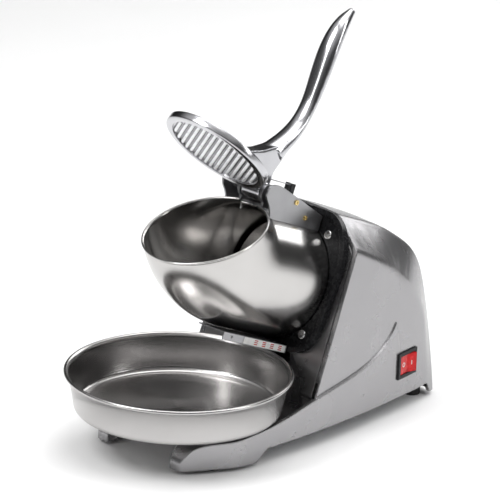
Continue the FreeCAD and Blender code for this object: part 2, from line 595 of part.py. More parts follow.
def microswitch():
    """Safety switch on the near side panel, with its leaf riding beside the hinge."""
    (n0, s0), (n1, s1) = MICRO_HOLES
    cn, cs = (n0 + n1) / 2.0, (s0 + s1) / 2.0
    body = box(MICRO_X - 10.0, MICRO_X, -7.9, 7.9, -13.9, 13.9)
    body.rotate(V(0, 0, 0), V(1, 0, 0), -MICRO_LEAN)
    body.translate(V(0, cs, cn))
    for n, s in MICRO_HOLES:
        body = body.cut(cyl(1.5, 30.0, (MICRO_X - 15.0, s, n), (1, 0, 0)))
    body = to_head(body.cut(cyl(HOPPER_R + 2.0, 100.0, (0, 0, 0))))
    keep("microswitch_body", one_solid(body.cut(NODES["hinge_bracket"])))
    screws = []
    for n, s in MICRO_HOLES:
        head = cyl(2.5, 1.2, (BRACKET_HALF, s, n), (1, 0, 0)).cut(cyl(1.3, 2.0, (BRACKET_HALF + 0.5, s, n),
                                                                      (1, 0, 0)))
        shank = cyl(1.5, BRACKET_HALF - MICRO_X + 9.0, (MICRO_X - 9.0, s, n), (1, 0, 0))
        screws.append(to_head(shank.fuse(head)))
    keep("microswitch_screws", Part.makeCompound(screws))
    x0 = MICRO_X - 7.0
    strip = box(x0, x0 + 4.0, LEAF_S, LEAF_S + 0.8, LEAF_N, LEAF_N + 28.0)
    barrel = cyl(1.6, 4.0, (x0, LEAF_S, LEAF_N), (1, 0, 0)).cut(cyl(0.85, 4.0, (x0, LEAF_S, LEAF_N),
                                                                    (1, 0, 0)))
    keep("microswitch_leaf", to_head(strip.fuse(barrel).cut(cyl(0.85, 4.0, (x0, LEAF_S, LEAF_N), (1, 0, 0)))))
    post = box(x0 - 2.4, x0 - 0.2, 60.0, LEAF_S + 2.0, LEAF_N - 2.5, LEAF_N + 2.5)
    post = post.fuse(box(x0 + 4.2, x0 + 6.4, 60.0, LEAF_S + 2.0, LEAF_N - 2.5, LEAF_N + 2.5))
    post = post.fuse(cyl(0.8, 8.8, (x0 - 2.4, LEAF_S, LEAF_N), (1, 0, 0)))
    blade = to_head(post).cut(NODES["microswitch_body"]).cut(NODES["hinge_bracket"])
    for screw in screws:
        blade = blade.cut(screw)
    keep("leaf_carrier", one_solid(blade.Solids[0].fuse(blade.Solids[1:]) if len(blade.Solids) > 1 else blade))


def pan():
    """Spun stainless pan with a rolled rim."""
    t = PAN_SHEET
    z0, z1 = PAN_FLOOR_Z, PAN_RIM_Z
    slope = (PAN_WALL_R - PAN_BASE_R) / (z1 - z0)
    r = 5.0
    edges = [line((0, 0, z0), (PAN_BASE_R - r, 0, z0)),
             blend((PAN_BASE_R - r, 0, z0), (PAN_BASE_R, 0, z0), (PAN_BASE_R + slope * r, 0, z0 + r)),
             line((PAN_BASE_R + slope * r, 0, z0 + r), (PAN_WALL_R, 0, z1 - 3.0)),
             blend((PAN_WALL_R, 0, z1 - 3.0), (PAN_WALL_R + 0.4, 0, z1 - 1.6),
                   (PAN_RIM_R - 1.6, 0, z1 - 2.6)),
             Part.Arc(V(PAN_RIM_R - 1.6, 0, z1 - 2.6), V(PAN_RIM_R, 0, z1 - 1.3),
                      V(PAN_RIM_R - 1.6, 0, z1)).toShape(),
             line((PAN_RIM_R - 1.6, 0, z1), (PAN_WALL_R + 0.6, 0, z1)),
             blend((PAN_WALL_R + 0.6, 0, z1), (PAN_WALL_R - t, 0, z1), (PAN_WALL_R - t - 0.2, 0, z1 - 3.0)),
             line((PAN_WALL_R - t - 0.2, 0, z1 - 3.0), (PAN_BASE_R + slope * r - t, 0, z0 + r)),
             blend((PAN_BASE_R + slope * r - t, 0, z0 + r), (PAN_BASE_R - t, 0, z0 + t),
                   (PAN_BASE_R - r - t, 0, z0 + t)),
             line((PAN_BASE_R - r - t, 0, z0 + t), (0, 0, z0 + t)), line((0, 0, z0 + t), (0, 0, z0))]
    face = Part.Face(Part.Wire(edges))
    body = face.revolve(V(0, 0, 0), V(0, 0, 1), 360)
    body.translate(V(0, PAN_CENTRE_Y, 0))
    keep("pan", body.Solids[0])


def drive():
    """Motor, shaft, blade disc and everything else on the head's axis."""
    c = -CUP_DEPTH - 4.0                      # back of the cup
    m0, m1 = c - 6.0, c - 6.0 - MOTOR_L       # motor can, front and rear
    seal = tube(SEAL_R, SHAFT_R + 0.05, 4.0, (0, 0, c))
    keep("shaft_seal", to_head(seal))
    front_bell = tube(MOTOR_R, BEARING_R, 6.0, (0, 0, m0))
    front_bell = front_bell.fuse(tube(BEARING_R + 4.0, SHAFT_R + 1.0, 1.5, (0, 0, m0 + 4.5)))
    rear_bell = tube(MOTOR_R, BEARING_R, 6.0, (0, 0, m1 - 6.0))
    rear_bell = rear_bell.fuse(cyl(BEARING_R + 4.0, 1.5, (0, 0, m1 - 6.0)))
    bolts = []
    for a in MOTOR_BOLT_ANGLES:
        x, s = MOTOR_BOLT_R * math.cos(math.radians(a)), MOTOR_BOLT_R * math.sin(math.radians(a))
        front_bell = front_bell.cut(cyl(2.1, 10.0, (x, s, m0 - 1)))
        bolts.append(to_head(cyl(2.1, 10.0, (x, s, m0)).fuse(cyl(3.8, 2.5, (x, s, c + 4.0)))))
    keep("motor_front_bell", to_head(front_bell))
    keep("motor_rear_bell", to_head(rear_bell))
    keep("motor_bolts", Part.makeCompound(bolts))
    keep("motor_can", to_head(tube(MOTOR_R, MOTOR_R - 2.0, MOTOR_L, (0, 0, m1))))
    bearing = tube(BEARING_R, SHAFT_R + 0.03, 4.5, (0, 0, m0))
    keep("front_bearing", to_head(bearing))
    keep("rear_bearing", to_head(tube(BEARING_R, SHAFT_R + 0.03, 4.5, (0, 0, m1 - 4.5))))
    keep("motor_shaft", to_head(cyl(SHAFT_R, 22.0 - m1 + 4.4, (0, 0, m1 - 4.4))))
    stack0, stack1 = m1 + 24.0, m1 + 62.0
    stator = tube(MOTOR_R - 2.0, ROTOR_R + 0.6, stack1 - stack0, (0, 0, stack0))
    for k in (-1, 1):
        stator = stator.cut(box(min(20 * k, 36 * k), max(20 * k, 36 * k), -13, 13, stack0 - 1, stack1 + 1))
    keep("stator_core", to_head(one_solid(stator)))
    coils = []
    for k in (-1, 1):
        x0, x1 = min(28.0 * k, 35.5 * k), max(28.0 * k, 35.5 * k)
        coils.append(to_head(box(x0, x1, -12.5, 12.5, stack0 - 6.0, stack1 + 6.0)))
    keep("field_windings", Part.makeCompound(coils))
    keep("rotor_core", to_head(tube(ROTOR_R, SHAFT_R, stack1 - stack0, (0, 0, stack0))))
    keep("commutator", to_head(tube(11.0, SHAFT_R, 12.0, (0, 0, m1 + 5.0))))
    brushes = [to_head(box(min(11.3 * k, 38.0 * k), max(11.3 * k, 38.0 * k), -4, 4, m1 + 7.0, m1 + 15.0))
               for k in (-1, 1)]
    keep("brush_holders", Part.makeCompound(brushes))
    fan = tube(12.0, SHAFT_R, 9.0, (0, 0, m0 - 11.0))
    for k in range(9):
        blade = box(11.0, FAN_R, -0.8, 0.8, m0 - 11.0, m0 - 3.0)
        blade.rotate(V(0, 0, 0), V(0, 0, 1), 40.0 * k)
        fan = fan.fuse(blade)
    fan = fan.fuse(tube(FAN_R, SHAFT_R, 1.2, (0, 0, m0 - 12.0)))
    keep("cooling_fan", to_head(one_solid(fan)))
    disc = tube(DISC_R, SHAFT_R, 2.5, (0, 0, DISC_N)).fuse(tube(12.0, SHAFT_R, 10.0, (0, 0, DISC_N - 10.0)))
    blades, screws = [], []
    for k in range(2):
        slot = box(16.0, 50.0, 2.0, 7.0, DISC_N - 1, DISC_N + 5)
        blade = box(15.0, 51.0, -11.0, 2.4, 0.0, 1.5)
        blade.rotate(V(0, 0, 0), V(1, 0, 0), 0.0)
        blade.translate(V(0, 0, DISC_N + 2.5))
        holes = [cyl(1.6, 8.0, (x, -6.0, DISC_N - 1.0)) for x in (22.0, 44.0)]
        pins = [cyl(1.6, 4.0, (x, -6.0, DISC_N)).fuse(cyl(3.0, 1.4, (x, -6.0, DISC_N + 4.0)))
                for x in (22.0, 44.0)]
        for h in holes:
            blade = blade.cut(h)
        for piece in [slot] + holes:
            turned = piece.copy()
            turned.rotate(V(0, 0, 0), V(0, 0, 1), 180.0 * k)
            disc = disc.cut(turned)
        blade.rotate(V(0, 0, 0), V(0, 0, 1), 180.0 * k)
        blades.append(to_head(blade))
        for p in pins:
            p.rotate(V(0, 0, 0), V(0, 0, 1), 180.0 * k)
            screws.append(to_head(p))
    keep("blade_disc", to_head(one_solid(disc)))
    keep("blades", Part.makeCompound(blades))
    keep("blade_screws", Part.makeCompound(screws))
    nut = Part.Face(Part.makePolygon([V(8 * math.cos(math.radians(60 * k)),
                                        8 * math.sin(math.radians(60 * k)), 0)
                                      for k in range(7)])).extrude(V(0, 0, 6))
    nut.translate(V(0, 0, DISC_N + 2.5))
    keep("disc_nut", to_head(nut.cut(cyl(SHAFT_R, 10.0, (0, 0, DISC_N)))))


def underside():
    plate = prism(WALL + 0.3, FLOOR_Z - 1.5, FLOOR_Z).common(box(-130, 130, -132.0, 194.0, 0, 60))
    plate = plate.cut(front_gap(WALL + 0.3))
    screws = []
    for x, y in boss_places():
        plate = plate.cut(cyl(1.5, 5.0, (x, y, FLOOR_Z - 3.0)))
        screws.append(cyl(1.5, 8.5, (x, y, FLOOR_Z - 1.5)).fuse(cyl(3.0, 1.6, (x, y, FLOOR_Z - 3.1))))
    for x, y, name in FEET:
        plate = plate.cut(cyl(2.5, 5.0, (x, y, FLOOR_Z - 3.0)))
        foot = Part.makeCone(FOOT_R - 1.0, FOOT_R, FLOOR_Z - 1.5, V(x, y, 0))
        foot = foot.cut(cyl(2.5, 30.0, (x, y, 5.0))).cut(cyl(4.6, 5.0, (x, y, -1.0)))
        keep(name, foot)
        screws.append(cyl(2.5, FLOOR_Z - 2.0, (x, y, 5.0)).fuse(hex_up((x, y, FLOOR_Z), 4.6, 3.0)))
    keep("bottom_plate", one_solid(plate))
    keep("base_screws", Part.makeCompound(screws))


def hex_up(at, r, h):
    x, y, z = at
    pts = [V(x + r * math.cos(math.radians(60 * k)), y + r * math.sin(math.radians(60 * k)), z)
           for k in range(7)]
    return Part.Face(Part.makePolygon(pts)).extrude(V(0, 0, h))


def power_switch():
    bezel = box(-15.4, 15.4, -12.9, 12.9, 0.0, 2.6).cut(box(-12.2, 12.2, -9.7, 9.7, -1.0, 5.0))
    shell = box(-13.4, 13.4, -10.9, 10.9, -11.0, 0.0).cut(box(-12.2, 12.2, -9.7, 9.7, -9.0, 1.0))
    pivot = cyl(1.45, 19.6, (0, -9.8, ROCKER_PIVOT), (0, 1, 0))
    keep("switch_body", one_solid(switch_place(bezel.fuse(shell).fuse(pivot))))
    edges = [line((-11.6, 0, 2.0), (0, 0, 1.2)), line((0, 0, 1.2), (10.7, 0, 5.4)),
             line((10.7, 0, 5.4), (10.2, 0, -3.0)),
             line((10.2, 0, -3.0), (-11.0, 0, -3.4)), line((-11.0, 0, -3.4), (-11.6, 0, 2.0))]
    face = Part.Face(Part.Wire(edges))
    face.translate(V(0, -9.3, 0))
    rocker = face.extrude(V(0, 18.6, 0)).cut(cyl(1.5, 22.0, (0, -11.0, ROCKER_PIVOT), (0, 1, 0)))
    keep("switch_rocker", one_solid(switch_place(rocker)))
    terminals = [switch_place(box(x - 0.4, x + 0.4, y - 3.0, y + 3.0, -19.0, -11.0)) for x in (-8.0, 8.0)
                 for y in (-5.5, 5.5)]
    keep("switch_terminals", Part.makeCompound(terminals))


def rear_fittings():
    ring = tube(CORD_HOLE_R, 3.6, 9.0, (CORD_X, CORD_SEAT_Y - 9.0, CORD_Z), (0, 1, 0))
    outside = tube(CORD_HOLE_R + 2.5, 3.6, 2.4, (CORD_X, CORD_SEAT_Y, CORD_Z), (0, 1, 0))
    keep("cord_grommet", one_solid(ring.fuse(outside)))
    block = box(20.0, 44.0, 150.0, 168.0, FLOOR_Z, FLOOR_Z + 14.0)
    for k in range(3):
        block = block.cut(box(22.0 + 7.5 * k, 27.0 + 7.5 * k, 149.0, 155.0, FLOOR_Z + 4.0, FLOOR_Z + 9.0))
    keep("terminal_block", one_solid(block))


def build():
    main_housing()
    front_frame()
    blade_housing()
    flange_screws()
    hopper()
    ice_guard()
    press_lever()
    press_plate()
    hinge_bracket()
    hinge_pin()
    microswitch()
    pan()
    drive()
    underside()
    power_switch()
    rear_fittings()


build()
os.makedirs("parts", exist_ok=True)
for node, shape in NODES.items():
    shape.exportStep("parts/" + node + ".step")
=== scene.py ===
import json
import math

import bmesh
import bpy
from mathutils import Matrix, Vector


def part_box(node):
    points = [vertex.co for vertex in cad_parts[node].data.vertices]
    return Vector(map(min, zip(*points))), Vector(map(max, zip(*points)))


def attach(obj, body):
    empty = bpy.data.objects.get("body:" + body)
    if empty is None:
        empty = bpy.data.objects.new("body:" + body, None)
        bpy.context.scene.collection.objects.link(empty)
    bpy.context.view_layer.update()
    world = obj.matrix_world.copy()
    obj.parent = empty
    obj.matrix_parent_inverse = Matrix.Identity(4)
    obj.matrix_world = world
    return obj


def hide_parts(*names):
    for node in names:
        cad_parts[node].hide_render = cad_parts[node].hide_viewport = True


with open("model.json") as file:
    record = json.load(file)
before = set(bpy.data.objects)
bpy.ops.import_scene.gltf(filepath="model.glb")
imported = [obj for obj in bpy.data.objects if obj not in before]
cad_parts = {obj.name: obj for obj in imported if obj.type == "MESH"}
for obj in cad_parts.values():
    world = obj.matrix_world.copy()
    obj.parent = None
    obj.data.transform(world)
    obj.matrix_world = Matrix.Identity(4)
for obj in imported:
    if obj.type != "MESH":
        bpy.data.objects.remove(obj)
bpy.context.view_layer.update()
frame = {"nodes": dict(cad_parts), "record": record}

NODES = frame["nodes"]

# The head frame: x across, s up the inclined face, n out of it.
TILT = math.radians(22.0)
HEAD = Matrix(((1, 0, 0, 0), (0, math.sin(TILT), -math.cos(TILT), 0.0435),
               (0, math.cos(TILT), math.sin(TILT), 0.138), (0, 0, 0, 1)))
HINGE = Vector((0.0, 0.002, 0.233))


# ---------------------------------------------------------------- materials
def material(name, colors, metallic, rough, grain, bump=0.0, bump_scale=None, coat=0.0, stretch=(1, 1, 1),
             edge=0.0005):
    """A node material: colour and roughness vary with noise, and bump gives the surface its texture."""
    m = bpy.data.materials.new(name)
    m.use_nodes = True
    nt = m.node_tree
    bsdf = nt.nodes["Principled BSDF"]
    coord = nt.nodes.new("ShaderNodeTexCoord")
    mapping = nt.nodes.new("ShaderNodeMapping")
    mapping.inputs["Scale"].default_value = stretch
    nt.links.new(coord.outputs["Object"], mapping.inputs["Vector"])
    noise = nt.nodes.new("ShaderNodeTexNoise")
    noise.inputs["Scale"].default_value = grain
    noise.inputs["Detail"].default_value = 6.0
    nt.links.new(mapping.outputs[0], noise.inputs["Vector"])
    ramp = nt.nodes.new("ShaderNodeValToRGB")
    ramp.color_ramp.elements[0].position = 0.32
    ramp.color_ramp.elements[1].position = 0.68
    ramp.color_ramp.elements[0].color = (*colors[0], 1)
    ramp.color_ramp.elements[1].color = (*colors[1], 1)
    nt.links.new(noise.outputs[0], ramp.inputs[0])
    nt.links.new(ramp.outputs[0], bsdf.inputs["Base Color"])
    spread = nt.nodes.new("ShaderNodeMapRange")
    spread.inputs["From Min"].default_value = 0.3
    spread.inputs["From Max"].default_value = 0.7
    spread.inputs["To Min"].default_value = rough[0]
    spread.inputs["To Max"].default_value = rough[1]
    nt.links.new(noise.outputs[0], spread.inputs["Value"])
    nt.links.new(spread.outputs[0], bsdf.inputs["Roughness"])
    bsdf.inputs["Metallic"].default_value = metallic
    bsdf.inputs["Coat Weight"].default_value = coat
    bsdf.inputs["Coat Roughness"].default_value = 0.12
    round_edge = nt.nodes.new("ShaderNodeBevel")
    round_edge.samples = 4
    round_edge.inputs["Radius"].default_value = edge
    if bump:
        fine = nt.nodes.new("ShaderNodeTexNoise")
        fine.inputs["Scale"].default_value = bump_scale
        fine.inputs["Detail"].default_value = 3.0
        nt.links.new(mapping.outputs[0], fine.inputs["Vector"])
        lift = nt.nodes.new("ShaderNodeBump")
        lift.inputs["Strength"].default_value = bump
        lift.inputs["Distance"].default_value = 0.0004
        nt.links.new(fine.outputs[0], lift.inputs["Height"])
        nt.links.new(round_edge.outputs[0], lift.inputs["Normal"])
        nt.links.new(lift.outputs[0], bsdf.inputs["Normal"])
    else:
        nt.links.new(round_edge.outputs[0], bsdf.inputs["Normal"])
    return m


MATS = {
    "cast_silver": material("cast_silver", ((0.335, 0.330, 0.338), (0.350, 0.345, 0.353)), 0.92,
        (0.26, 0.28), 25.0, coat=0.15, edge=0.0022),
    "cast_inner": material("cast_inner", ((0.30, 0.295, 0.30), (0.315, 0.31, 0.315)), 0.92, (0.27, 0.29),
        25.0, coat=0.10, edge=0.0010),
    "polished_steel": material("polished_steel", ((0.52, 0.51, 0.50), (0.545, 0.535, 0.525)), 1.0,
        (0.19, 0.21), 40.0),
    "polished_alloy": material("polished_alloy", ((0.50, 0.50, 0.52), (0.54, 0.54, 0.56)), 1.0,
        (0.17, 0.20), 60.0, edge=0.0010),
    "bracket_steel": material("bracket_steel", ((0.34, 0.34, 0.35), (0.37, 0.37, 0.38)), 0.95, (0.30, 0.34),
        60.0, edge=0.0009),
    "black_cast": material("black_cast", ((0.008, 0.008, 0.009), (0.014, 0.014, 0.015)), 0.0, (0.24, 0.30),
        200.0, edge=0.0012),
    "screw_steel": material("screw_steel", ((0.60, 0.60, 0.60), (0.75, 0.75, 0.75)), 1.0, (0.14, 0.26),
        900.0, 0.08, 900.0, edge=0.0003),
    "brass": material("brass", ((0.62, 0.46, 0.18), (0.78, 0.62, 0.30)), 1.0, (0.18, 0.30), 900.0, 0.06,
        900.0),
    "dark_steel": material("dark_steel", ((0.20, 0.20, 0.21), (0.34, 0.34, 0.35)), 1.0, (0.25, 0.40), 500.0,
        0.08, 700.0),
    "black_plastic": material("black_plastic", ((0.012, 0.012, 0.013), (0.026, 0.026, 0.028)), 0.0,
        (0.35, 0.50), 700.0, 0.15, 1500.0, edge=0.0006),
    "red_plastic": material("red_plastic", ((0.50, 0.002, 0.004), (0.66, 0.006, 0.008)), 0.0, (0.22, 0.30),
        200.0, 0.04, 500.0, 0.15, edge=0.0008),
    "rubber_black": material("rubber_black", ((0.012, 0.012, 0.012), (0.030, 0.030, 0.030)), 0.0,
        (0.62, 0.82), 600.0, 0.35, 1400.0, edge=0.0010),
    "copper": material("copper", ((0.50, 0.20, 0.09), (0.72, 0.34, 0.18)), 1.0, (0.25, 0.40), 900.0, 0.5,
        1200.0, stretch=(1, 4, 1)),
    "zinc_steel": material("zinc_steel", ((0.42, 0.43, 0.44), (0.60, 0.61, 0.62)), 1.0, (0.28, 0.50), 130.0,
        0.08, 300.0),
    "white_label": material("white_label", ((0.74, 0.74, 0.72), (0.84, 0.84, 0.82)), 0.0, (0.35, 0.45),
        300.0, 0.05, 800.0, edge=0.0002),
    "lamination": material("lamination", ((0.12, 0.12, 0.13), (0.30, 0.30, 0.32)), 1.0, (0.35, 0.5), 40.0,
        0.6, 60.0, stretch=(1, 20, 20)),
    "nylon": material("nylon", ((0.66, 0.65, 0.60), (0.78, 0.77, 0.72)), 0.0, (0.4, 0.55), 400.0, 0.08,
        900.0),
}


def spun(name, like):
    """A darker steel spun on a lathe: the grain runs round, so highlights fan out."""
    m = MATS[like].copy()
    m.name = name
    nt = m.node_tree
    tangent = nt.nodes.new("ShaderNodeTangent")
    tangent.direction_type = "RADIAL"
    tangent.axis = "Z"
    bsdf = nt.nodes["Principled BSDF"]
    nt.links.new(tangent.outputs[0], bsdf.inputs["Tangent"])
    bsdf.inputs["Anisotropic"].default_value = 0.75
    ramp = next(n for n in nt.nodes if n.type == "VALTORGB")
    ramp.color_ramp.elements[0].color = (0.46, 0.45, 0.445, 1)
    ramp.color_ramp.elements[1].color = (0.48, 0.47, 0.465, 1)
    return m


MATS["spun_steel"] = spun("spun_steel", "polished_steel")
for dull in ("red_plastic", "black_plastic", "black_cast", "rubber_black"):
    MATS[dull].node_tree.nodes["Principled BSDF"].inputs["Specular IOR Level"].default_value = 0.22
# The waffle is painted as a lit and a shaded copy of the polished alloy: a lighter painted highlight on the
# pyramid tips, near-black painted shade in the valleys between them.
MATS["waffle_painted_highlight"] = material(
    "waffle_painted_highlight", ((0.70, 0.70, 0.72), (0.80, 0.80, 0.82)), 1.0, (0.26, 0.32), 240.0, edge=0.00012)
MATS["waffle_painted_shade"] = material(
    "waffle_painted_shade", ((0.010, 0.010, 0.012), (0.035, 0.035, 0.040)), 1.0, (0.3, 0.45), 240.0, 0.02, 300.0,
    edge=0.0001)


# ---------------------------------------------------------------- mesh helpers
def add(name, bm, slot, body, sharp, finish=None):
    """Turns a bmesh into a finished piece that rides on a body."""
    bmesh.ops.recalc_face_normals(bm, faces=bm.faces)
    for f in bm.faces:
        f.smooth = True
    for e in bm.edges:
        if e.is_manifold and e.calc_face_angle(0.0) > math.radians(sharp):
            e.smooth = False
    mesh = bpy.data.meshes.new(name)
    bm.to_mesh(mesh)
    bm.free()
    ob = bpy.data.objects.new(name, mesh)
    bpy.context.scene.collection.objects.link(ob)
    mesh.materials.append(MATS[finish or slot])
    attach(ob, body)
    return ob


def lathe(bm, profile, matrix, segments):
    """Revolves a closed loop of (radius, height) points about the local Z axis of matrix."""
    rings = []
    for r, h in profile:
        rings.append([bm.verts.new(matrix @ Vector((r * math.cos(a), r * math.sin(a), h)))
                      for a in [2 * math.pi * k / segments for k in range(segments)]])
    count = len(rings)
    for i in range(count):
        a, b = rings[i], rings[(i + 1) % count]
        for k in range(segments):
            j = (k + 1) % segments
            bm.faces.new((a[k], a[j], b[j], b[k]))


def arc(centre, radius, start, end, steps):
    """Points of an arc in the profile plane, angles in degrees."""
    return [(centre[0] + radius * math.cos(math.radians(start + (end - start) * i / steps)),
             centre[1] + radius * math.sin(math.radians(start + (end - start) * i / steps)))
            for i in range(steps + 1)]


# ---------------------------------------------------------------- pan
low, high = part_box("pan")
rim_r = (high.x - low.x) / 2
centre = Matrix.Translation(((low.x + high.x) / 2, (low.y + high.y) / 2, low.z))
height = high.z - low.z
base_r, sheet = rim_r - 0.0095, 0.0011
wall_r = rim_r - 0.0045
corner = [(base_r - 0.006 + 0.006 * math.sin(math.radians(a)), 0.006 - 0.006 * math.cos(math.radians(a)))
          for a in range(0, 91, 10)]
outside = [(0.0006, 0.0006), (base_r - 0.030, 0.0006), (base_r - 0.026, 0.0)] + corner
outside += [(wall_r, height - 0.0042)]
lip = arc((rim_r - 0.0019, height - 0.0019), 0.0019, -120, 125, 14)
inside = [(wall_r - sheet, height - 0.0032), (wall_r - sheet - 0.0002, height - 0.0055)]
inside += [(x - sheet, z + sheet) for x, z in reversed(corner)]
inside += [(base_r - 0.026, sheet), (base_r - 0.030, sheet + 0.0006), (0.0006, sheet + 0.0006)]
profile = outside + lip + inside
bm = bmesh.new()
lathe(bm, profile, centre, 200)
pan = add("pan_spun", bm, "polished_steel", "catch_pan", sharp=70, finish="spun_steel")
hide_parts("pan")


# ---------------------------------------------------------------- hopper
R, SEAT, ELBOW, BEND, TURN = 0.0595, 0.003, 0.075, 0.064, math.radians(52.0)
SHEET = 0.0015
SLOT_HALF, SLOT_REACH = 0.0124, 0.016      # the cut in the mouth for the lever's neck


def hopper_point(phi, t):
    """phi round the tube; t along it: up to 1 on the straight run, from 1 to 2 round the elbow."""
    x, s = R * math.sin(phi), R * math.cos(phi)
    if t <= 1:
        return Vector((x, s, SEAT + (ELBOW - SEAT) * t))
    a = TURN * (t - 1)
    d = BEND - s
    return Vector((x, BEND - d * math.cos(a), ELBOW + d * math.sin(a)))


bm = bmesh.new()
around, steps = 192, [i / 12 for i in range(13)] + [1 + i / 24 for i in range(1, 25)]
grid = [[bm.verts.new(HEAD @ hopper_point(2 * math.pi * k / around, t)) for k in range(around)]
        for t in steps]
for i in range(len(steps) - 1):
    for k in range(around):
        j = (k + 1) % around
        phi = 2 * math.pi * (k + 0.5) / around
        x, s, n = hopper_point(phi, (steps[i] + steps[i + 1]) / 2)
        if abs(x) < SLOT_HALF and s > 0.04 and n > ELBOW - SLOT_REACH:
            continue
        bm.faces.new((grid[i][k], grid[i][j], grid[i + 1][j], grid[i + 1][k]))
hopper = add("hopper_tube", bm, "polished_steel", "housing", sharp=60)
wall = hopper.modifiers.new("wall", "SOLIDIFY")
wall.thickness = SHEET
wall.offset = -1.0
wall.use_even_offset = True
bm = bmesh.new()
bead = []
slot_angle = math.asin(SLOT_HALF / R)
for k in range(around + 1):
    phi = slot_angle + (2 * math.pi - 2 * slot_angle) * k / around
    p = hopper_point(phi, 2.0)
    out = Vector((math.sin(phi), math.cos(phi) * math.cos(TURN), -math.cos(phi) * math.sin(TURN)))
    up = Vector((0, math.sin(TURN), math.cos(TURN)))
    bead.append([bm.verts.new(HEAD @ (p + out * (0.0011 * math.cos(a) - 0.0002)
                                      + up * (0.0012 * math.sin(a) - 0.0006)))
                 for a in [2 * math.pi * i / 12 for i in range(12)]])
for a, b in zip(bead, bead[1:]):
    for i in range(12):
        bm.faces.new((a[i], a[(i + 1) % 12], b[(i + 1) % 12], b[i]))
bm.faces.new(bead[0])
bm.faces.new(bead[-1])
add("hopper_rim", bm, "polished_steel", "housing", sharp=60)
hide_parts("hopper")


# ---------------------------------------------------------------- press plate with its waffle
RAISED = math.radians(133.0)
along = Vector((0, math.cos(RAISED), math.sin(RAISED)))
press = Vector((0, -math.sin(RAISED), math.cos(RAISED)))
face_centre = HINGE + along * 0.0729 + press * 0.0092
PLATE = Matrix.Identity(4)
PLATE.col[0] = (1, 0, 0, 0)
PLATE.col[1] = (*along, 0)
PLATE.col[2] = (*press, 0)
PLATE.col[3] = (*face_centre, 1)
PLATE_R, FIELD_R, DEPTH, PITCH = 0.054, 0.0465, 0.0019, 0.0056
profile = [(0.0002, -DEPTH), (FIELD_R - 0.0006, -DEPTH)]
profile += arc((FIELD_R - 0.0006, -DEPTH + 0.0006), 0.0006, -90, 0, 3)
profile += arc((FIELD_R + 0.0007, -0.0008), 0.0007, 180, 90, 4)
profile += arc((PLATE_R - 0.0018, -0.0019), 0.0018, 90, 0, 6)
profile += arc((PLATE_R - 0.0012, -0.0068), 0.0012, 0, -90, 4) + [(0.0002, -0.008)]
bm = bmesh.new()
lathe(bm, profile, PLATE, 160)
half = PITCH / 2
cells = int(PLATE_R / PITCH * 1.5) + 2
painted_highlight_faces, painted_shade_faces = [], []
for i in range(-cells, cells + 1):
    for j in range(-cells, cells + 1):
        u, v = (i + 0.5) * PITCH, (j + 0.5) * PITCH
        c = Vector(((u - v) * math.sqrt(0.5), (u + v) * math.sqrt(0.5)))
        if c.length > FIELD_R - 0.0012:
            continue
        ring = []
        for du, dv in ((-half, -half), (half, -half), (half, half), (-half, half)):
            q = Vector((((u + du) - (v + dv)) * math.sqrt(0.5), ((u + du) + (v + dv)) * math.sqrt(0.5)))
            ring.append(q if q.length < FIELD_R - 0.0002 else q.normalized() * (FIELD_R - 0.0002))
        levels = [[bm.verts.new(PLATE @ Vector((*(c + (q - c) * k), z))) for q in ring]
                  for k, z in ((1.0, -DEPTH - 0.0002), (0.62, -DEPTH * 0.75), (0.22, -0.0003))]
        foot, waist, top = levels
        for k in range(4):
            after = (k + 1) % 4
            painted_shade_faces.append(bm.faces.new((foot[k], foot[after], waist[after], waist[k])))
            painted_highlight_faces.append(bm.faces.new((waist[k], waist[after], top[after], top[k])))
        painted_highlight_faces.append(bm.faces.new(top))
        painted_shade_faces.append(bm.faces.new(foot[::-1]))
# The upper faces of each pyramid take the painted highlight; its foot and the floor between pyramids take
# the painted shade.
for f in painted_highlight_faces:
    f.material_index = 1
for f in painted_shade_faces:
    f.material_index = 2
plate = add("press_plate_waffle", bm, "polished_alloy", "press_lever", sharp=20)
plate.data.materials.append(MATS["waffle_painted_highlight"])
plate.data.materials.append(MATS["waffle_painted_shade"])
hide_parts("press_plate", "press_plate_screws")


# ---------------------------------------------------------------- lever, blended like a casting
def cast_copy(name, node, voxel, smoothing, body):
    """A finer copy of a CAD casting with its corners softened."""
    ob = bpy.data.objects.new(name, NODES[node].data.copy())
    bpy.context.scene.collection.objects.link(ob)
    bm = bmesh.new()
    bm.from_mesh(ob.data)
    bmesh.ops.remove_doubles(bm, verts=bm.verts, dist=1e-6)
    bmesh.ops.recalc_face_normals(bm, faces=bm.faces)
    bm.to_mesh(ob.data)
    bm.free()
    grain = ob.modifiers.new("grain", "REMESH")
    grain.mode = "VOXEL"
    grain.voxel_size = voxel
    grain.use_smooth_shade = True
    soft = ob.modifiers.new("soft", "SMOOTH")
    soft.iterations = smoothing
    soft.factor = 0.6
    ob.data.materials.clear()
    slot = next(s["material_slot"] for s in frame["record"]["subparts"] if s["node"] == node)
    ob.data.materials.append(MATS[slot])
    for p in ob.data.polygons:
        p.use_smooth = True
        p.material_index = 0
    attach(ob, body)
    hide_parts(node)


